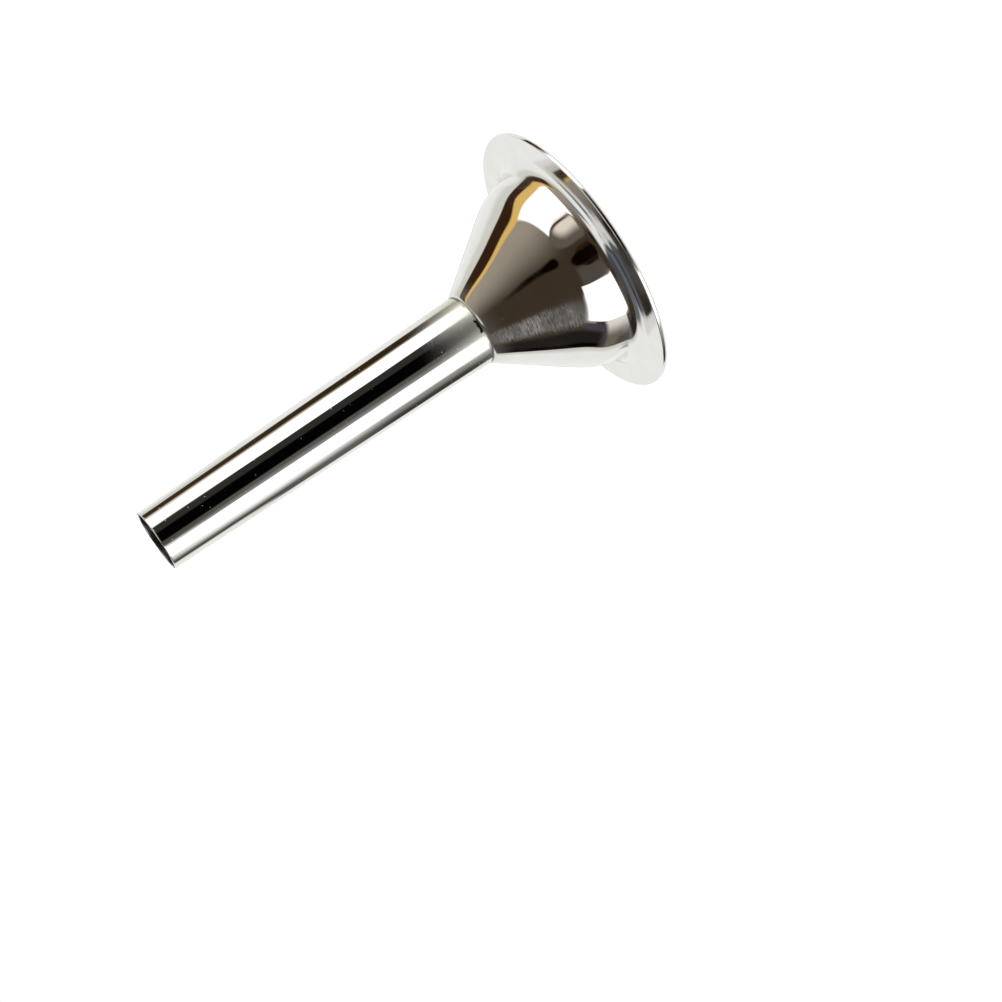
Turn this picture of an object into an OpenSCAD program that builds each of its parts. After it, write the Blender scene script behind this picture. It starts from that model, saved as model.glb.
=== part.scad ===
// Sausage stuffing tube: a spun sheet bell with a tapered outlet tube brazed on its neck.
// It stands on its flange, mouth down, with the axis along +Z and the flange's face at z = 0.
// Every wall is bent sheet: a line of sharp corners on the outside, rounded by inside bend radii.

/* [Flange] */
// Outside diameter of the flange round the mouth
flange_d = 92.4; // [86:0.2:120]
// Inside radius of the bend from the flange up into the wall
flange_bend_r = 4.8; // [3:0.1:6]

/* [Bell] */
// Thickness of the bell's sheet
sheet_t = 1.2; // [0.8:0.05:1.4]
// Diameter at which the line of the wall, which leans inwards, meets the top of the flange
wall_foot_d = 69.8; // [66:0.2:76]
// Diameter at which the wall's line meets the cone's line
shoulder_d = 64.4; // [58:0.2:68]
// Height at which the wall's line meets the cone's line
shoulder_h = 12.7; // [11:0.1:16]
// Inside radius of the shoulder between wall and cone
shoulder_bend_r = 17.6; // [8:0.1:22]
// Height of the seat that the tube's end stands on
seat_h = 40.8; // [34:0.1:60]

/* [Neck] */
// How far the cone's top edge stands out round the tube
seat_ledge = 0.4; // [0.2:0.05:0.8]
// Inside radius of the bend from the cone onto the seat
seat_edge_r = 0.1; // [0.05:0.05:0.2]
// Inside radius of the bend from the seat up into the neck
neck_bend_r = 0.2; // [0.1:0.05:0.3]
// Length of the neck inside the tube
neck_l = 8; // [4:0.5:20]

/* [Tube] */
// Outside diameter of the tube at its outlet
outlet_d = 20; // [12:0.5:22]
// Outside diameter of the tube at the seat
tube_root_d = 23.8; // [22:0.1:30]
// Length of the tube
tube_l = 117.8; // [80:0.1:160]
// Thickness of the tube's wall
tube_t = 0.7; // [0.5:0.05:1]

/* [Edges] */
// Rounding of the free edges of the sheet, at the rim, the lip and the tube's lower end
edge_round = 0.3; // [0.1:0.05:0.4]

/* [Joint] */
// Gap that the braze fills between the tube, the neck and the seat
braze_gap = 0.05; // [0.02:0.01:0.1]

/* [Hidden] */
$fn = 180;
steel = [0.80, 0.80, 0.79];
polished_steel = [0.84, 0.84, 0.83];

// Change of the tube's radius for each millimetre of height
taper = (tube_root_d - outlet_d) / 2 / tube_l;
// Height of the tube's lower end
tube_z = seat_h + braze_gap;
// Outside radius of the neck, which follows the tube's bore, at a given height
function neck_r(z) = tube_root_d / 2 - taper * (z - tube_z) - tube_t - braze_gap;

// The bell's outside line, from the rim to the top of the neck
bell_corners = [
    [flange_d / 2, sheet_t],
    [wall_foot_d / 2, sheet_t],
    [shoulder_d / 2, shoulder_h],
    [tube_root_d / 2 + seat_ledge, seat_h],
    [neck_r(seat_h), seat_h],
    [neck_r(seat_h + neck_l), seat_h + neck_l]
];
bell_bends = [0, flange_bend_r, shoulder_bend_r, seat_edge_r, neck_bend_r, 0];

// The tube's outside line, from its lower end to the outlet
tube_corners = [[tube_root_d / 2, tube_z], [outlet_d / 2, tube_z + tube_l]];
tube_bends = [0, 0];

// Largest share of a sheet's thickness that one of its two edge roundings may take
edge_share = 0.45;
// How far a rounding cuts past its tangent lines, so that arc and line cross at a clear point
blend_bite = 0.001;
// How far the corner pieces reach past the outline that they are taken from or added to
corner_reach = 0.2;

// Direction from one point to the next, and the direction on its left, where the sheet lies
function along(a, b) = (b - a) / norm(b - a);
function left_of(d) = [-d.y, d.x];

// Move of a corner when both of its lines move left by a distance
function mitre(d0, d1, distance) = distance * (left_of(d0) + left_of(d1)) / (1 + d0 * d1);

// Side that a corner turns to: 1 to the left or -1 to the right
function turn_side(d0, d1) = sign(d0.x * d1.y - d0.y * d1.x);

// Point of a closed outline, counted round past its ends
function point(points, i) = points[(i + len(points)) % len(points)];
function backwards(list) = [for (i = [len(list) - 1 : -1 : 0]) list[i]];

// Directions into and out of a corner of an open line, which go straight on at its two ends
function way_in(line, i) = i == 0 ? along(line[0], line[1]) : along(line[i - 1], line[i]);
function way_out(line, i) = i == len(line) - 1 ? way_in(line, i) : along(line[i], line[i + 1]);

// The inside line of a sheet whose outside line is given
function inside_line(line, t) =
    [for (i = [0 : len(line) - 1]) line[i] + mitre(way_in(line, i), way_out(line, i), t)];

// Radii along one face of a sheet: the outer side of a bend is a thickness larger, edges are equal
function face_radii(line, bends, t, outer_turn) =
    [for (i = [0 : len(line) - 1])
        i == 0 || i == len(line) - 1
            ? min(edge_round, edge_share * t)
            : bends[i] + (turn_side(way_in(line, i), way_out(line, i)) == outer_turn ? t : 0)];

// The piece between a sharp corner and its rounding, which reaches a little past both lines
module corner_piece(before, corner, after, r) {
    d0 = along(before, corner);
    d1 = along(corner, after);
    side = turn_side(d0, d1);
    cut = r * tan(acos(d0 * d1) / 2);
    start = corner - cut * d0;
    stop = corner + cut * d1;
    centre = start + side * r * left_of(d0);
    past = -side * corner_reach;
    piece = [
        centre,
        start + past * left_of(d0),
        corner + mitre(d0, d1, past),
        stop + past * left_of(d1)
    ];
    difference() {
        // The points run the same way round as those of the outline
        polygon(side > 0 ? piece : backwards(piece));
        translate(centre)
            circle(r + blend_bite);
    }
}

// The corner pieces of an outline's corners that turn to one side
module corner_pieces(points, radii, side) {
    for (i = [0 : len(points) - 1]) {
        before = point(points, i - 1);
        after = point(points, i + 1);
        if (turn_side(along(before, points[i]), along(points[i], after)) == side)
            corner_piece(before, points[i], after, radii[i]);
    }
}

// Section of a bent sheet of even thickness, with rounded bends and edges
module sheet_section(line, bends, t) {
    points = concat(line, backwards(inside_line(line, t)));
    radii = concat(face_radii(line, bends, t, 1), backwards(face_radii(line, bends, t, -1)));
    difference() {
        union() {
            polygon(points);
            corner_pieces(points, radii, -1);
        }
        corner_pieces(points, radii, 1);
    }
}

// Spun bell: flange, leaning wall, shoulder, cone, stepped seat and neck in one sheet
module funnel_bell() {
    color(steel)
        rotate_extrude()
            sheet_section(bell_corners, bell_bends, sheet_t);
}

// Tapered tube that stands on the seat and is brazed round the neck
module outlet_tube() {
    color(polished_steel)
        rotate_extrude()
            sheet_section(tube_corners, tube_bends, tube_t);
}

funnel_bell();
outlet_tube();
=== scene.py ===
# Sausage stuffing tube: a spun steel bell with a tapered outlet tube brazed on its neck.
# Both are mirror-polished, so a light tent round them gives them the bright and dark bands of a studio.
import math
from dataclasses import dataclass

import bpy
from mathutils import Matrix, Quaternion, Vector


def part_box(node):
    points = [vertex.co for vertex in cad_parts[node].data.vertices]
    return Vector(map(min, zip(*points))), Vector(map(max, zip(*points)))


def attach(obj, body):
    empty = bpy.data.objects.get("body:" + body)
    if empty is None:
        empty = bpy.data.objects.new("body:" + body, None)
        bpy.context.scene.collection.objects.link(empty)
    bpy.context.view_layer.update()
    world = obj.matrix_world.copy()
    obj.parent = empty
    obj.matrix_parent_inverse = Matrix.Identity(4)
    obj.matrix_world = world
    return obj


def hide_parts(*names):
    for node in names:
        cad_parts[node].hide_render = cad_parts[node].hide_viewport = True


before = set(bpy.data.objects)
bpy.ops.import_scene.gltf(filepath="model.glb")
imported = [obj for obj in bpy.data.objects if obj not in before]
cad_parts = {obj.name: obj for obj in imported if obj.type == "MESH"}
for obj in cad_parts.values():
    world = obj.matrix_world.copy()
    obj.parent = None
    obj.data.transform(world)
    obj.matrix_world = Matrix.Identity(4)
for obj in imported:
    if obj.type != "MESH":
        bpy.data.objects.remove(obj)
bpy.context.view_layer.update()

# Sizes in metres. The frame gives the main ones, and the others repeat those of the solids.
bell_low, bell_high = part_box("funnel_bell")
tube_low, tube_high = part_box("outlet_tube")
FLANGE_R = (bell_high.x - bell_low.x) / 2
TUBE_ROOT_R = (tube_high.x - tube_low.x) / 2
TUBE_Z = tube_low.z
TUBE_TOP = tube_high.z
SHEET_T = 0.0012
FLANGE_BEND_R = 0.0048
WALL_FOOT_R = 0.0349
SHOULDER_R = 0.0322
SHOULDER_H = 0.0127
SHOULDER_BEND_R = 0.0176
SEAT_H = 0.0408
SEAT_LEDGE = 0.0004
SEAT_EDGE_R = 0.0001
NECK_BEND_R = 0.0002
OUTLET_R = 0.010
TUBE_T = 0.0007
EDGE_ROUND = 0.0003
BRAZE_GAP = 0.00005

# How finely the meshes are drawn: steps round the axis, and step lengths along a section
TURN_STEPS = 192
STRAIGHT_STEP = 0.001
LONG_STEP = 0.004
ARC_STEP = 0.0003
ARC_TURN = math.radians(3)
LEAST_ARC_STEPS = 5
MERGE_DISTANCE = 1e-6
# A straight run that ends at a bend tighter than this gets a short step there, if it is long enough
TIGHT_BEND = 0.0006
HOLD_STEP = 0.00015
LEAST_HELD_RUN = 3 * HOLD_STEP
# How strongly and how often the bell's shoulder is smoothed
EASE_FACTOR = 0.5
EASE_ROUNDS = 12


# Shader maths

class Wire:
    """A socket in a shader tree. Arithmetic on it adds Math nodes, and node() adds any other node."""

    def __init__(self, tree, socket=None):
        self.tree = tree
        self.socket = socket

    def node(self, kind, settings=None, inputs=(), output=None):
        """Adds a node, sets it up, fills its sockets by name or in order, and gives one output."""
        made = self.tree.nodes.new(kind)
        for name, value in (settings or {}).items():
            setattr(made, name, value)
        shown = [socket for socket in made.inputs if socket.enabled]
        if isinstance(inputs, dict):
            pairs = [(next(s for s in shown if s.name == name), value) for name, value in inputs.items()]
        else:
            pairs = list(zip(shown, inputs))
        for socket, value in pairs:
            if isinstance(value, Wire):
                self.tree.links.new(value.socket, socket)
            else:
                socket.default_value = value
        outputs = [s for s in made.outputs if s.enabled and output in (None, s.name)]
        return Wire(self.tree, outputs[0] if outputs else None)

    def math(self, operation, *values):
        return self.node("ShaderNodeMath", {"operation": operation}, values)

    def __add__(self, other):
        return self.math("ADD", self, other)

    def __sub__(self, other):
        return self.math("SUBTRACT", self, other)

    def __mul__(self, other):
        return self.math("MULTIPLY", self, other)

    def __truediv__(self, other):
        return self.math("DIVIDE", self, other)

    def __radd__(self, other):
        return self.math("ADD", other, self)

    def __rsub__(self, other):
        return self.math("SUBTRACT", other, self)

    def __rmul__(self, other):
        return self.math("MULTIPLY", other, self)

    def __rtruediv__(self, other):
        return self.math("DIVIDE", other, self)

    def rise(self, low, high):
        """0 below low, 1 above high, and a smooth rise between them."""
        return self.node("ShaderNodeMapRange", {"interpolation_type": "SMOOTHSTEP"},
                         {"Value": self, "From Min": low, "From Max": high})

    def between(self, low, high, soft):
        """1 between low and high, with edges that fade over a width of soft."""
        half = soft / 2
        return self.rise(low - half, low + half) * (1 - self.rise(high - half, high + half))

    def mix(self, factor, first, second):
        return self.node("ShaderNodeMix", {"data_type": "RGBA"},
                         {"Factor": factor, "A": first, "B": second}, "Result")


def empty_material(name):
    material = bpy.data.materials.new(name)
    material.use_nodes = True
    material.node_tree.nodes.clear()
    return material, Wire(material.node_tree)


def linear(red, green, blue):
    """The linear colour of a display colour from 0 to 255."""
    shares = [channel / 255 for channel in (red, green, blue)]
    return tuple(s / 12.92 if s <= 0.04045 else ((s + 0.055) / 1.055) ** 2.4 for s in shares)


# Polished steel

STEEL_TONE = 0.79
HAZE_ROUGH = 0.45
# How many of each mark there are to a metre
RINGS_PER_METRE = 900
INSIDE_RINGS_PER_METRE = 450
STREAKS_PER_METRE = 3000
WAVES_PER_METRE = 35
BLOTCHES_PER_METRE = 130
SMUDGES_PER_METRE = 90
SPECKS_PER_METRE = 400
DUST_PER_METRE = 520
STAINS_PER_METRE = 260
RAGS_PER_METRE = 1040
LUMPS_PER_METRE = 1500.0
# How often rings and streaks change on the way round
RING_SWEEP = 0.6
INSIDE_RING_SWEEP = 0.4
STREAK_SWEEP = 10.0
# Octaves of noise, where they aren't the usual two
WAVE_DETAIL = 1.0
RING_DETAIL = 3.0
LUMP_DETAIL = 3.0
SMUDGE_DETAIL = 4.0
# Levels of noise at which a mark begins and is full
BLOTCH_LEVELS = (0.3, 0.7)
GROUND_LEVELS = (0.35, 0.6)
STREAK_LEVELS = (0.3, 0.62)
SMUDGE_LEVELS = (0.42, 0.72)
STAIN_LEVELS = (0.5, 0.6)
LUMP_LEVELS = (0.35, 0.65)
NOISE_MIDDLE = 0.5
# Width of the step between the cells of a scatter that have a speck and those that have none
PICK_STEP = 0.001


class Sheet:
    """Places on a turned piece, and the marks that spinning, buffing and handling leave on it."""

    def __init__(self, start):
        self.start = start
        self.place = start.node("ShaderNodeTexCoord", output="Object")
        split = start.node("ShaderNodeSeparateXYZ", None, (self.place,)).socket.node
        x, y, self.height = (Wire(start.tree, output) for output in split.outputs)
        self.radius = start.math("SQRT", x * x + y * y)
        # Degrees round the axis, 0 towards the camera and 90 at -X
        self.round = start.math("DEGREES", start.math("ARCTAN2", 0 - x, 0 - y))
        ring_inputs = (x / self.radius, y / self.radius, self.radius)
        self.ring_place = start.node("ShaderNodeCombineXYZ", None, ring_inputs)

    def noise(self, vector, scale, detail=2.0, w=0.0):
        return self.start.node("ShaderNodeTexNoise", {"noise_dimensions": "4D"},
                               {"Vector": vector, "W": w, "Scale": scale, "Detail": detail}, "Fac")

    def rings(self, per_metre, sweep):
        """Marks that run round the axis; sweep is how often they change on the way round."""
        scaled = self.start.node("ShaderNodeVectorMath", {"operation": "MULTIPLY"},
                                 (self.ring_place, (sweep, sweep, per_metre)), "Vector")
        return self.noise(scaled, 1.0, RING_DETAIL, self.height * per_metre)

    def specks(self, per_metre, share, size):
        """Small round spots in a share of the cells of a scatter; their size is in cells."""
        cells = self.start.node("ShaderNodeTexVoronoi", None, {"Vector": self.place, "Scale": per_metre})
        cell_colour = Wire(self.start.tree, cells.socket.node.outputs["Color"])
        pick = self.start.node("ShaderNodeSeparateXYZ", None, (cell_colour,))
        return (1 - cells.rise(size / 2, size)) * pick.rise(1 - share, 1 - share + PICK_STEP)

    def bump(self, *layers):
        """A normal bent by layers of height and depth in metres."""
        normal = None
        for height, depth in layers:
            inputs = {"Strength": 1.0, "Distance": depth, "Height": height}
            if normal:
                inputs["Normal"] = normal
            normal = self.start.node("ShaderNodeBump", None, inputs)
        return normal

    def metal(self, colour, rough, normal, haze=None):
        """Bare metal; haze is how much of it is scuffed or oxidised, which scatters the light."""
        mirror = {"Base Color": colour, "Metallic": 1.0, "Roughness": rough, "Normal": normal}
        shader = self.start.node("ShaderNodeBsdfPrincipled", None, mirror)
        if haze:
            scuffed = {"Base Color": colour, "Metallic": 1.0, "Roughness": HAZE_ROUGH, "Normal": normal}
            dull = self.start.node("ShaderNodeBsdfPrincipled", None, scuffed)
            shader = self.start.node("ShaderNodeMixShader", None, (haze, shader, dull))
        self.start.node("ShaderNodeOutputMaterial", None, {"Surface": shader})


def grey(tone, warmth=0.0):
    """A neutral steel colour, or a warmer one."""
    return (tone, tone - warmth / 2, tone - warmth, 1)


# Finish of the bell. Spans are from, to and width of fade, in degrees round the axis or metres up it.
BELL_ROUGH = 0.022
RING_ROUGH = 0.012
BELL_DARK = grey(STEEL_TONE - 0.03, warmth=0.012)
BELL_LIGHT = grey(STEEL_TONE, warmth=0.008)
BELL_SPECK_SHARE = 0.05
BELL_SPECK_SIZE = 0.1
# The patch on the cone that was ground, and its least share of grain
GROUND_ROUND = (20, 37.5, 8)
GROUND_HEIGHT = (0.017, 0.038, 0.009)
GROUND_LEAST = 0.35
# Heights between which the braze's heat grows, and how far they wander
BELL_HEAT = (0.037, 0.045)
BELL_HEAT_WANDER = 0.004
# The flange is duller, from handling, up to these heights
HANDLED_HEIGHT = (0.0035, 0.0085)
HANDLED_ROUGH = 0.08
# How much each mark scatters the light
GRAIN_HAZE = 0.9
SPECK_HAZE = 0.4
BELL_HEAT_HAZE = 0.3
SMUDGE_HAZE = 0.03
# Depths of the marks in metres
BELL_WAVE_DEPTH = 8e-4
BELL_RING_DEPTH = 1.5e-7
STREAK_DEPTH = 1e-6


def bell_polish():
    """Mirror polish with faint buffing rings, dull at the braze, and ground on one side of the cone."""
    material, start = empty_material("bell_polish")
    sheet = Sheet(start)
    rings = sheet.rings(RINGS_PER_METRE, RING_SWEEP)
    waves = sheet.noise(sheet.place, WAVES_PER_METRE, WAVE_DETAIL)
    blotches = sheet.noise(sheet.place, BLOTCHES_PER_METRE)
    specks = sheet.specks(SPECKS_PER_METRE, BELL_SPECK_SHARE, BELL_SPECK_SIZE)
    streaks = sheet.rings(STREAKS_PER_METRE, STREAK_SWEEP)
    patch = sheet.round.between(*GROUND_ROUND) * sheet.height.between(*GROUND_HEIGHT)
    patchy = GROUND_LEAST + blotches.rise(*GROUND_LEVELS) * (1 - GROUND_LEAST)
    grain = patch * patchy * streaks.rise(*STREAK_LEVELS)
    heat = (sheet.height + blotches * BELL_HEAT_WANDER).rise(*BELL_HEAT)
    smudges = sheet.noise(sheet.place, SMUDGES_PER_METRE, SMUDGE_DETAIL).rise(*SMUDGE_LEVELS)
    scuffs = grain * GRAIN_HAZE + specks * SPECK_HAZE + heat * BELL_HEAT_HAZE + smudges * SMUDGE_HAZE
    haze = start.math("MINIMUM", scuffs, 1)
    colour = start.mix(blotches.rise(*BLOTCH_LEVELS), BELL_DARK, BELL_LIGHT)
    normal = sheet.bump((waves, BELL_WAVE_DEPTH), (rings, BELL_RING_DEPTH), (streaks * patch, STREAK_DEPTH))
    handled = 1 - sheet.height.rise(*HANDLED_HEIGHT)
    sheet.metal(colour, BELL_ROUGH + rings * RING_ROUGH + handled * HANDLED_ROUGH, normal, haze)
    return material


# Finish of the tube
TUBE_ROUGH = 0.02
HEAT_ROUGH = 0.05
TUBE_DARK = grey(STEEL_TONE - 0.02, warmth=0.01)
TUBE_LIGHT = grey(STEEL_TONE, warmth=0.005)
STRAW = (0.915, 0.92, 0.80, 1)
# Dark colour of the tube's end, partly painted shade of the groove
SOOT_AND_SHADE = (0.025, 0.02, 0.012, 1)
DUST_SHARE = 0.5
DUST_SIZE = 0.15
# Heights above the tube's end between which the braze's heat fades, and how far they wander
TUBE_HEAT = (0.001, 0.028)
TUBE_HEAT_WANDER = 0.008
# The side where the heat reached less far, and by how much
COOL_ROUND = (38, 140, 30)
COOL_SHORTER = 0.012
HEAT_HAZE = 0.88
HEAT_TINT = 0.8
DUST_HAZE = 0.6
TUBE_WAVE_DEPTH = 2e-4
TUBE_RING_DEPTH = 1e-7
# Dark marks at the tube's end: degrees from the middle of the band towards the camera, heights above the
# tube's end, and how ragged its edges are
FRONT_BAND_ROUND = 2
RAGGED_DEGREES = 14
RAGGED_HEIGHT = 0.0012
FRONT_BAND_ASIDE = (8, 13)
FRONT_BAND_HEIGHT = (0.0009, 0.0014)
# Painted shade of the groove at the tube's end, as thin dark lines at both sides
GROOVE_SHADE_ASIDE = (52, 100, 12)
GROOVE_SHADE_HEIGHT = (0.0004, 0.0009)
GROOVE_SHADE_SHARE = 0.85
BURNT_HEIGHT = (0.0004, 0.0010)
BURNT_SHARE = 0.6


def dark_end_and_groove_shade(sheet):
    """How dark the tube's end is: a dark band on the side towards the camera, painted shade of the groove
    beside it, and burnt spots.
    """
    ragged = sheet.noise(sheet.place, RAGS_PER_METRE) - NOISE_MIDDLE
    aside = ragged.math("ABSOLUTE", sheet.round - FRONT_BAND_ROUND) + ragged * RAGGED_DEGREES
    above = sheet.height - TUBE_Z + ragged * RAGGED_HEIGHT
    spots = sheet.noise(sheet.place, STAINS_PER_METRE).rise(*STAIN_LEVELS)
    burnt = spots * BURNT_SHARE * (1 - above.rise(*BURNT_HEIGHT))
    front_band = (1 - aside.rise(*FRONT_BAND_ASIDE)) * (1 - above.rise(*FRONT_BAND_HEIGHT))
    # Painted shade of the groove: thin dark lines at the sides of the tube's end
    groove_shade = aside.between(*GROOVE_SHADE_ASIDE) * (1 - above.rise(*GROOVE_SHADE_HEIGHT))
    return ragged.math("MAXIMUM", front_band, ragged.math("MAXIMUM", burnt, groove_shade * GROOVE_SHADE_SHARE))


def tube_polish():
    """Mirror polish with fine turning rings and dust, dulled and straw-coloured where it was brazed, and
    dark at its end, partly with painted shade of the groove.
    """
    material, start = empty_material("tube_polish")
    sheet = Sheet(start)
    rings = sheet.rings(RINGS_PER_METRE, RING_SWEEP)
    waves = sheet.noise(sheet.place, WAVES_PER_METRE, WAVE_DETAIL)
    blotches = sheet.noise(sheet.place, BLOTCHES_PER_METRE)
    specks = sheet.specks(DUST_PER_METRE, DUST_SHARE, DUST_SIZE)
    cooler = sheet.round.between(*COOL_ROUND) * COOL_SHORTER
    warmed = sheet.height + blotches * TUBE_HEAT_WANDER + cooler
    heat = 1 - warmed.rise(*(TUBE_Z + height for height in TUBE_HEAT))
    end_dark_and_shade = dark_end_and_groove_shade(sheet)
    haze = start.math("MINIMUM", heat * HEAT_HAZE + specks * DUST_HAZE + end_dark_and_shade, 1)
    clean = start.mix(blotches.rise(*BLOTCH_LEVELS), TUBE_DARK, TUBE_LIGHT)
    # The dark of the tube's end is partly painted shade of the groove
    colour = start.mix(end_dark_and_shade, start.mix(heat * HEAT_TINT, clean, STRAW), SOOT_AND_SHADE)
    normal = sheet.bump((waves, TUBE_WAVE_DEPTH), (rings, TUBE_RING_DEPTH))
    sheet.metal(colour, TUBE_ROUGH + rings * RING_ROUGH + heat * HEAT_ROUGH, normal, haze)
    return material


# Finish of the insides
BELL_INSIDE_TONE = 0.72
# The tube's inside is far darker than the bell's: painted shade inside the bore
TUBE_INSIDE_SHADED_TONE = 0.35
INSIDE_DARKER = 0.05
INSIDE_ROUGH = 0.14
INSIDE_RING_ROUGH = 0.14
INSIDE_WAVE_ROUGH = 0.05
INSIDE_WAVE_DEPTH = 2e-5
INSIDE_RING_DEPTH = 1.5e-6


def inside_finish(name, tone):
    """Satin finish with the rings that the spinning tool leaves inside."""
    material, start = empty_material(name)
    sheet = Sheet(start)
    rings = sheet.rings(INSIDE_RINGS_PER_METRE, INSIDE_RING_SWEEP)
    waves = sheet.noise(sheet.place, WAVES_PER_METRE)
    rough = INSIDE_ROUGH + rings * INSIDE_RING_ROUGH + waves * INSIDE_WAVE_ROUGH
    dark = grey(tone - INSIDE_DARKER, warmth=0.015)
    colour = start.mix(waves.rise(*BLOTCH_LEVELS), dark, grey(tone, warmth=0.01))
    normal = sheet.bump((waves, INSIDE_WAVE_DEPTH), (rings, INSIDE_RING_DEPTH))
    sheet.metal(colour, rough, normal)
    return material


# Finish of the braze
BRAZE_DARK = (0.42, 0.36, 0.27, 1)
BRAZE_LIGHT = (0.62, 0.57, 0.47, 1)
BRAZE_ROUGH = 0.3
LUMP_ROUGH = 0.2
LUMP_DEPTH = 4e-5


def braze_finish():
    """Silver braze, dull and straw-coloured, with small lumps."""
    material, start = empty_material("braze_silver")
    sheet = Sheet(start)
    lumps = sheet.noise(sheet.place, LUMPS_PER_METRE, LUMP_DETAIL)
    colour = start.mix(lumps.rise(*LUMP_LEVELS), BRAZE_DARK, BRAZE_LIGHT)
    normal = sheet.bump((lumps, LUMP_DEPTH))
    sheet.metal(colour, BRAZE_ROUGH + lumps * LUMP_ROUGH, normal)
    return material


# Drawing a section as a sheet-metal worker does, and spinning it into a body

def along(a, b):
    return (b - a).normalized()


def left_of(way):
    return Vector((-way.y, way.x))


def turn_between(way_in, way_out):
    """Angle from one direction to the next, positive to the left."""
    return math.atan2(way_in.cross(way_out), way_in.dot(way_out))


def ways_at(line, i):
    """Directions into and out of a point of an open line, which go straight on at its two ends."""
    way_in = along(line[max(i - 1, 0)], line[max(i, 1)])
    last = len(line) - 1
    way_out = along(line[min(i, last - 1)], line[min(i + 1, last)])
    return way_in, way_out


def sheet_outline(line, bends, thickness):
    """Corners and radii round a bent sheet whose outside line is given; the sheet lies on its left."""
    inside, outer_radii, inner_radii = [], [], []
    last = len(line) - 1
    for i, corner in enumerate(line):
        way_in, way_out = ways_at(line, i)
        shift = (left_of(way_in) + left_of(way_out)) * (thickness / (1 + way_in.dot(way_out)))
        inside.append(corner + shift)
        turn = turn_between(way_in, way_out)
        edge = i in (0, last)
        outer_radii.append(EDGE_ROUND if edge else bends[i] + (thickness if turn > 0 else 0))
        inner_radii.append(EDGE_ROUND if edge else bends[i] + (thickness if turn < 0 else 0))
    return line + inside[::-1], outer_radii + inner_radii[::-1]


def draw_straight(start, stop, step_length, bend_before, bend_after):
    """Extrudes the selected point along a run. A short step at a tight bend keeps its shading flat."""
    run = stop - start
    first, last = (
        HOLD_STEP if bend < TIGHT_BEND and run.length > LEAST_HELD_RUN else 0
        for bend in (bend_before, bend_after)
    )
    middle = run.length - (first + last)
    steps = max(1, math.ceil(middle / step_length))
    for length in [first] + [middle / steps] * steps + [last]:
        if length:
            step = run.normalized() * length
            bpy.ops.mesh.extrude_vertices_move(TRANSFORM_OT_translate={"value": (step.x, 0, step.y)})


def draw_bend(centre, radius, turn):
    """Spins the selected point round the centre of a bend."""
    steps = min(math.ceil(radius * abs(turn) / ARC_STEP), math.ceil(abs(turn) / ARC_TURN))
    steps = max(LEAST_ARC_STEPS, steps)
    bpy.ops.mesh.spin(steps=steps, angle=turn, center=(centre.x, 0, centre.y), axis=(0, 1, 0))


def ease_points(body, low, high, least_r):
    """Smooths the section between two heights, so that straight runs flow into bends as in spun sheet."""
    bpy.ops.mesh.select_all(action="DESELECT")
    bpy.ops.object.mode_set(mode="OBJECT")
    for point in body.data.vertices:
        point.select = low < point.co.z < high and point.co.x > least_r
    bpy.ops.object.mode_set(mode="EDIT")
    bpy.ops.mesh.vertices_smooth(factor=EASE_FACTOR, repeat=EASE_ROUNDS)


def spun_body(name, points, radii, step_length, eased=None):
    """Draws a closed section with rounded corners in the X-Z plane and spins it round the axis."""
    count = len(points)
    bends = []
    for i in range(count):
        way_in = along(points[i - 1], points[i])
        way_out = along(points[i], points[(i + 1) % count])
        turn = turn_between(way_in, way_out)
        cut = radii[i] * math.tan(abs(turn) / 2)
        start = points[i] - way_in * cut
        stop = points[i] + way_out * cut
        centre = start + left_of(way_in) * math.copysign(radii[i], turn)
        bends.append((start, stop, centre, radii[i], turn))

    bpy.ops.object.select_all(action="DESELECT")
    bpy.ops.mesh.primitive_plane_add(size=SHEET_T)
    body = bpy.context.object
    body.name = name
    body.data.name = name
    bpy.ops.object.mode_set(mode="EDIT")
    bpy.ops.mesh.select_mode(type="VERT")
    bpy.ops.mesh.merge(type="CENTER")
    first = bends[0][1]
    bpy.ops.transform.translate(value=(first.x, 0, first.y))
    here, last_radius = first, radii[0]
    for start, stop, centre, radius, turn in bends[1:] + bends[:1]:
        draw_straight(here, start, step_length, last_radius, radius)
        draw_bend(centre, radius, turn)
        here, last_radius = stop, radius
    bpy.ops.mesh.select_all(action="SELECT")
    bpy.ops.mesh.remove_doubles(threshold=MERGE_DISTANCE)
    if eased:
        ease_points(body, *eased)
    bpy.ops.mesh.select_all(action="SELECT")
    bpy.ops.mesh.spin(steps=TURN_STEPS, angle=math.tau, center=(0, 0, 0), axis=(0, 0, 1))
    bpy.ops.mesh.select_all(action="SELECT")
    bpy.ops.mesh.remove_doubles(threshold=MERGE_DISTANCE)
    bpy.ops.mesh.normals_make_consistent(inside=False)
    bpy.ops.object.mode_set(mode="OBJECT")
    bpy.ops.object.shade_smooth()
    return body


def finish_faces(body, outside, inside):
    """Gives a spun body its outside finish, and its inside finish on faces that look inwards or down."""
    body.data.materials.append(outside)
    body.data.materials.append(inside)
    bpy.ops.object.mode_set(mode="EDIT")
    bpy.ops.mesh.select_mode(type="FACE")
    bpy.ops.mesh.select_all(action="DESELECT")
    bpy.ops.object.mode_set(mode="OBJECT")
    for face in body.data.polygons:
        outwards = face.normal.dot(Vector((face.center.x, face.center.y, 0)).normalized())
        face.select = outwards + face.normal.z < 0
    bpy.ops.object.mode_set(mode="EDIT")
    body.active_material_index = 1
    bpy.ops.object.material_slot_assign()
    bpy.ops.object.mode_set(mode="OBJECT")


# The two pieces

tube_taper = (TUBE_ROOT_R - OUTLET_R) / (TUBE_TOP - TUBE_Z)


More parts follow.
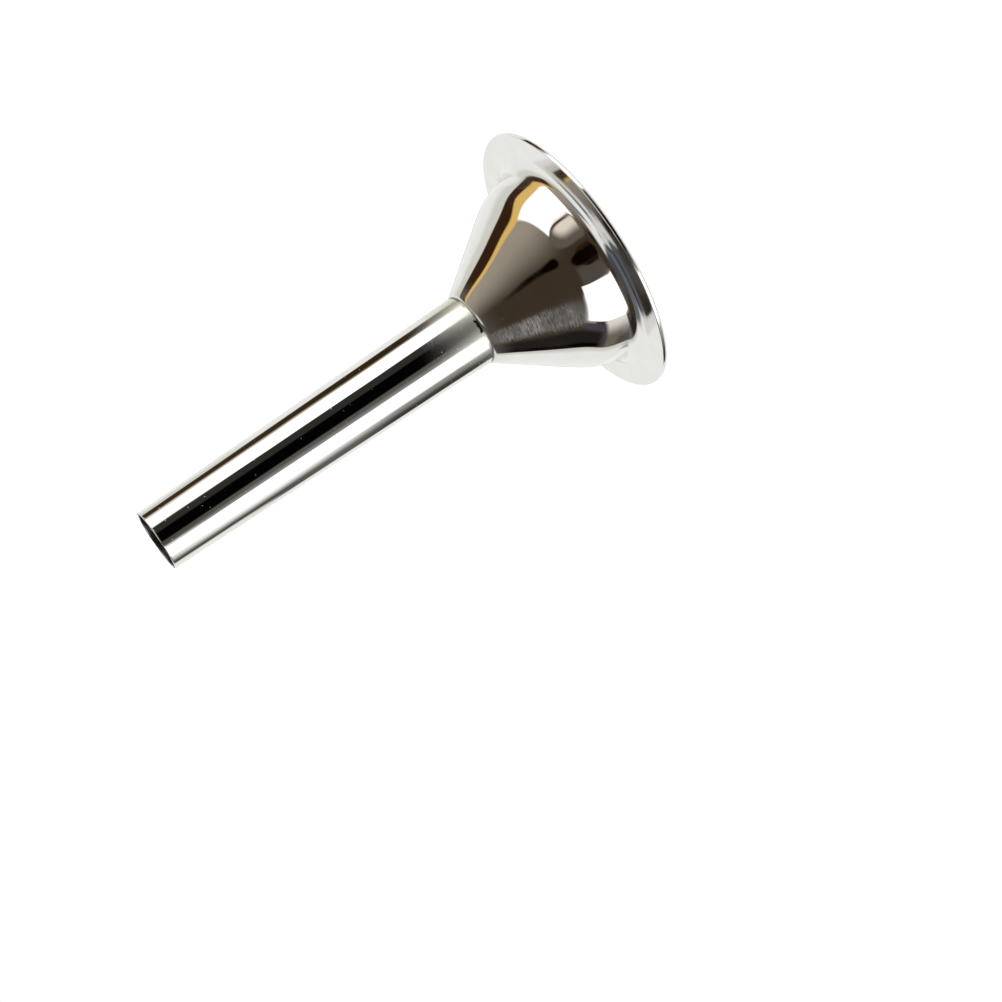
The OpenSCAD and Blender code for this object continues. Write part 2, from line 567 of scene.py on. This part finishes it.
def neck_r(z):
    """Outside radius of the neck, which follows the tube's bore."""
    return TUBE_ROOT_R - tube_taper * (z - TUBE_Z) - TUBE_T - BRAZE_GAP


bell_line = [
    Vector((FLANGE_R, SHEET_T)),
    Vector((WALL_FOOT_R, SHEET_T)),
    Vector((SHOULDER_R, SHOULDER_H)),
    Vector((TUBE_ROOT_R + SEAT_LEDGE, SEAT_H)),
    Vector((neck_r(SEAT_H), SEAT_H)),
    Vector((neck_r(bell_high.z), bell_high.z)),
]
bell_bends = [0, FLANGE_BEND_R, SHOULDER_BEND_R, SEAT_EDGE_R, NECK_BEND_R, 0]
# Lowest and highest point of the section that is eased, and the least radius there
SHOULDER_EASE = (0.0062, 0.034, 0.0165)
bell_points, bell_radii = sheet_outline(bell_line, bell_bends, SHEET_T)
spun_bell = spun_body("spun_bell", bell_points, bell_radii, STRAIGHT_STEP, SHOULDER_EASE)
finish_faces(spun_bell, bell_polish(), inside_finish("bell_inside", BELL_INSIDE_TONE))
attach(spun_bell, "root")
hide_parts("funnel_bell")

tube_line = [Vector((TUBE_ROOT_R, TUBE_Z)), Vector((OUTLET_R, TUBE_TOP))]
tube_points, tube_radii = sheet_outline(tube_line, [0, 0], TUBE_T)
tapered_tube = spun_body("tapered_tube", tube_points, tube_radii, LONG_STEP)
# The tube's inside finish has a dark tone that is painted shade inside the bore
finish_faces(tapered_tube, tube_polish(), inside_finish("tube_inside_painted_shade", TUBE_INSIDE_SHADED_TONE))
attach(tapered_tube, "root")
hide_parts("outlet_tube")

# Bead of braze in the groove between the tube's rounded end and the bell's seat
BEAD_SIZE = 0.0003
BEAD_ROUND = 0.00008
bead_corner = Vector((TUBE_ROOT_R, SEAT_H))
bead_points = [
    bead_corner + Vector((-BEAD_SIZE, 0)),
    bead_corner + Vector((BEAD_ROUND, 0)),
    bead_corner + Vector((-BEAD_ROUND / 2, BEAD_SIZE)),
]
bead_radii = [BEAD_ROUND / 2, BEAD_ROUND, BEAD_ROUND / 2]
braze_bead = spun_body("braze_bead", bead_points, bead_radii, STRAIGHT_STEP)
braze_bead.data.materials.append(braze_finish())
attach(braze_bead, "root")


# Light tent. Directions are degrees from the object: azimuth 0 is towards the camera and 90 is -X.

@dataclass
class Panel:
    """A patch of the tent: where it is, the colour it shows in the steel, and how wide its edges fade."""
    azimuths: tuple
    elevations: tuple
    shown: tuple
    soft: tuple = (2, 4)
    # Degrees that it leans towards +azimuth for each degree above LEAN_FROM
    lean: float = 0.0
    is_round: bool = False
    # Share of a round panel's reach that is left open in its middle
    hollow: float = 0.0
    # Whether only its side towards -azimuth is there, thinning out at both ends
    crescent: bool = False
    gain: float = 1.0


LEAN_FROM = 6
LAMP_GAIN = 1.35
# Where a crescent thins out, in shares of its half width from its middle
CRESCENT_FADE = (-0.95, -0.4)
WHITE = (255, 255, 255)
PAPER = (229, 229, 226)
PAPER_SHADE = (205, 204, 195)
DARK_ROOM = (57, 47, 36)
# In the order they are painted. A limit past 180 or 90 degrees has no edge that shows.
TENT_PANELS = {
    "left ceiling": Panel((-300, -46), (25, 100), (150, 141, 127), (76, 14)),
    "right ceiling": Panel((52, 84), (25, 100), (78, 73, 68), (12, 14)),
    "right ceiling spill": Panel((44, 80), (23, 32), (190, 185, 178), (8, 6)),
    "dark streak": Panel((-22, -6), (41.6, 53.2), (8, 3, 0), (5, 5), is_round=True),
    "right wall": Panel((74, 119), (-3, 10), (104, 98, 88), (4, 6)),
    "right wall glow": Panel((70, 91), (-3, 10), (222, 216, 208), (24, 6)),
    "low right wall": Panel((70, 140), (-40, -3), (76, 75, 70), (4, 5)),
    "low right wall glow": Panel((70, 95), (-40, -3), (250, 248, 244), (30, 5)),
    "lower right wall glow": Panel((84, 140), (-40, -10), (140, 139, 134), (9, 5)),
    "lower right wall": Panel((103, 140), (-40, -10), (58, 57, 52), (26, 5)),
    "right dark wall": Panel((82, 119), (10, 31), (66, 62, 66), (4, 8)),
    "right black edge": Panel((93, 119), (15, 38), (32, 28, 26), (8, 8)),
    "right black line": Panel((112, 119), (15, 38), (6, 4, 2), (4, 8)),
    "right wall at the camera": Panel((8, 33), (-4, 25), (76, 69, 63), (10, 8)),
    "low right wall at the camera": Panel((12, 40), (-40, -4), (84, 83, 79), (5, 5)),
    "low right glow": Panel((28, 44), (-40, -4), (130, 128, 124), (12, 5)),
    "left softbox": Panel((-92, -40), (-4.5, 28), WHITE, (3, 4), gain=LAMP_GAIN),
    "low left softbox": Panel((-92, -43), (-40, -4.5), WHITE, (3, 4), gain=LAMP_GAIN),
    "right softbox": Panel((32, 78), (-3.5, 30), WHITE, (2, 4), gain=LAMP_GAIN),
    "low right softbox": Panel((37.5, 80), (-40, -3.5), WHITE, (5, 4), gain=LAMP_GAIN),
    "lamp wall": Panel((-46, -16), (-17.5, 32.5), (92, 83, 74), (3, 3), is_round=True),
    "lamp glow": Panel((-49.5, -28), (-4, 18), (224, 212, 197), (13, 13), is_round=True),
    "lamp rim": Panel((-46, -16), (-17.5, 32.5), (34, 28, 23), (2, 2),
                      is_round=True, hollow=0.76, crescent=True),
    "low left wall": Panel((-42.5, -19), (-40, -1.5), (46, 44, 41), (4, 2.5)),
    "low black flag": Panel((-21, 14.5), (-40, -0.8), (4, 3, 3), (5, 5)),
    "brown flag": Panel((-11, 11), (-1.5, 16), (44, 24, 13), (3, 3), is_round=True),
    "black flag": Panel((-7, 7), (-3, 26), (8, 4, 2), (3, 3), is_round=True),
    "small black flag": Panel((7.5, 11.5), (5, 10), (20, 14, 8), (2, 2), is_round=True),
    "gold strip": Panel((-112, -89.5), (-3.6, 45), (214, 176, 100), (3, 0.5)),
    "low gold strip": Panel((-98, -86), (-40, -3.6), (205, 195, 175), (6, 0.5)),
    "dark line": Panel((-126, -103.5), (-3.6, 45), (50, 32, 18), (3, 0.5), lean=0.26),
    "low dark line": Panel((-126, -93), (-40, -3.6), (56, 43, 30), (8, 0.5)),
    "lower dark line": Panel((-126, -88.5), (-40, -9.5), (50, 37, 21), (16, 5)),
    "low left paper": Panel((-300, -119.5), (-40, -4), PAPER, (5, 2)),
    "left paper": Panel((-300, -116.5), (-7.6, 100), PAPER_SHADE, (3, 3)),
    "far left paper": Panel((-300, -134), (-7.6, 100), PAPER, (14, 3)),
    "low right paper": Panel((131, 300), (-40, -4), PAPER, (5, 2)),
    "right paper": Panel((119, 300), (-7.3, 100), PAPER_SHADE, (2, 3)),
    "far right paper": Panel((125, 300), (-7.3, 100), PAPER, (6, 3)),
    "paper above": Panel((-300, 300), (64, 100), PAPER, (4, 16)),
    "paper below": Panel((-300, 300), (-100, -30), PAPER, (4, 14)),
    "left rear flag": Panel((-300, -172), (-40, 8), (84, 79, 74), (8, 12)),
    "right rear flag": Panel((172, 300), (-40, 8), (84, 79, 74), (8, 12)),
    "left high flag": Panel((-104, -61), (57, 78), (118, 122, 131), (12, 8)),
    "right high flag": Panel((20, 124), (57, 88), (66, 68, 72), (14, 10)),
    "right rear high flag": Panel((118, 178), (44, 95), (92, 95, 100), (8, 10)),
}
TENT_R = 30.0
TENT_MIDDLE = Vector((0, 0, 0.08))
TENT_SEGMENTS = 64
TENT_RINGS = 32


def round_mask(azimuth, elevation, panel):
    """1 inside an oval that fills the panel, fading at its edge."""
    half_across = (panel.azimuths[1] - panel.azimuths[0]) / 2
    half_up = (panel.elevations[1] - panel.elevations[0]) / 2
    across = (azimuth - sum(panel.azimuths) / 2) / half_across
    up = (elevation - sum(panel.elevations) / 2) / half_up
    reach = azimuth.math("SQRT", across * across + up * up)
    fade = panel.soft[0] / half_across / 2
    mask = 1 - reach.rise(1 - fade, 1 + fade)
    if panel.hollow:
        mask = mask * reach.rise(panel.hollow - fade, panel.hollow + fade)
    if panel.crescent:
        mask = mask * (1 - across.rise(*CRESCENT_FADE))
    return mask


def tent_material():
    """Light of the tent: a dark room with the panels painted over it, one after the other."""
    material, start = empty_material("tent_light")
    place = start.node("ShaderNodeTexCoord", output="Object")
    split = start.node("ShaderNodeSeparateXYZ", None, (place,)).socket.node
    x, y, z = (Wire(start.tree, output) for output in split.outputs)
    level = start.math("SQRT", x * x + y * y)
    azimuth = start.math("DEGREES", start.math("ARCTAN2", 0 - x, 0 - y))
    elevation = start.math("DEGREES", start.math("ARCTAN2", z, level))
    rise_above = start.math("MAXIMUM", elevation - LEAN_FROM, 0)
    light = (*[channel / STEEL_TONE for channel in linear(*DARK_ROOM)], 1)
    for panel in TENT_PANELS.values():
        if panel.is_round:
            mask = round_mask(azimuth, elevation, panel)
        else:
            across = azimuth - rise_above * panel.lean if panel.lean else azimuth
            mask = across.between(*panel.azimuths, panel.soft[0])
            mask = mask * elevation.between(*panel.elevations, panel.soft[1])
        colour = [channel * panel.gain / STEEL_TONE for channel in linear(*panel.shown)]
        light = start.mix(mask, light, (*colour, 1))
    glow = start.node("ShaderNodeEmission", None, {"Color": light, "Strength": 1.0})
    start.node("ShaderNodeOutputMaterial", None, {"Surface": glow})
    return material


def seen_only_in_reflections(thing):
    thing.visible_camera = False
    thing.visible_diffuse = False
    thing.visible_transmission = False
    thing.visible_shadow = False


bpy.ops.object.select_all(action="DESELECT")
bpy.ops.mesh.primitive_uv_sphere_add(
    segments=TENT_SEGMENTS, ring_count=TENT_RINGS, radius=TENT_R, location=TENT_MIDDLE)
tent = bpy.context.object
tent.name = "light_tent"
tent.data.materials.append(tent_material())
seen_only_in_reflections(tent)


# Floor, white for the camera but for the object's own shadow

FLOOR_R = 4.0
FLOOR_STEPS = 96
FLOOR_DROP = 0.0002
FLOOR_TONE = 0.8
FLOOR_LIFT = 0.25


def floor_material():
    """Pale card, lifted to white for the camera."""
    material, start = empty_material("pale_floor")
    card = start.node("ShaderNodeBsdfDiffuse", None, {"Color": (FLOOR_TONE, FLOOR_TONE, FLOOR_TONE, 1)})
    to_camera = start.node("ShaderNodeLightPath", output="Is Camera Ray")
    lift = start.node("ShaderNodeEmission", None, {"Strength": to_camera * FLOOR_LIFT})
    shader = start.node("ShaderNodeAddShader", None, (card, lift))
    start.node("ShaderNodeOutputMaterial", None, {"Surface": shader})
    return material


bpy.ops.mesh.primitive_circle_add(
    vertices=FLOOR_STEPS, radius=FLOOR_R, fill_type="NGON", location=(0, 0, -FLOOR_DROP))
floor = bpy.context.object
floor.name = "studio_floor"
floor.data.materials.append(floor_material())
floor.visible_glossy = False


# Soft light from above for the floor, and a world that looks white

SUN_LIGHT = 2.0
SUN_SPREAD = 70
SUN_TILT = 25
SKY_LIGHT = 0.55

bpy.ops.object.light_add(type="SUN", rotation=(math.radians(SUN_TILT), 0, 0))
sun = bpy.context.object
sun.name = "overhead_light"
sun.data.energy = SUN_LIGHT
sun.data.angle = math.radians(SUN_SPREAD)
sun.visible_glossy = False

world = bpy.data.worlds.new("white_studio")
world.use_nodes = True
world.node_tree.nodes.clear()
bpy.context.scene.world = world
sky = Wire(world.node_tree)
light_path = sky.node("ShaderNodeLightPath").socket.node
seen = Wire(world.node_tree, light_path.outputs["Is Camera Ray"])
for ray in ("Is Glossy Ray", "Is Transmission Ray"):
    seen = sky.math("MAXIMUM", seen, Wire(world.node_tree, light_path.outputs[ray]))
backdrop = sky.node("ShaderNodeBackground", None,
                    {"Color": (1, 1, 1, 1), "Strength": SKY_LIGHT + seen * (1 - SKY_LIGHT)})
sky.node("ShaderNodeOutputWorld", None, {"Surface": backdrop})


# Camera at the photograph's viewing angle

EYE = Vector((0, -0.60373, 0.21476))
AIM = Vector((-0.04944, 0, 0.06355))
ROLL = -124.97
LENS_MM = 71.86
SENSOR_MM = 36

camera_data = bpy.data.cameras.new("photo_camera")
camera_data.sensor_width = SENSOR_MM
camera_data.lens = LENS_MM
camera = bpy.data.objects.new("photo_camera", camera_data)
bpy.context.scene.collection.objects.link(camera)
camera.rotation_mode = "QUATERNION"
camera.location = EYE
upright = (AIM - EYE).to_track_quat("-Z", "Y")
camera.rotation_quaternion = upright @ Quaternion((0, 0, 1), math.radians(ROLL))
bpy.context.scene.camera = camera
bpy.context.scene.view_settings.view_transform = "Standard"
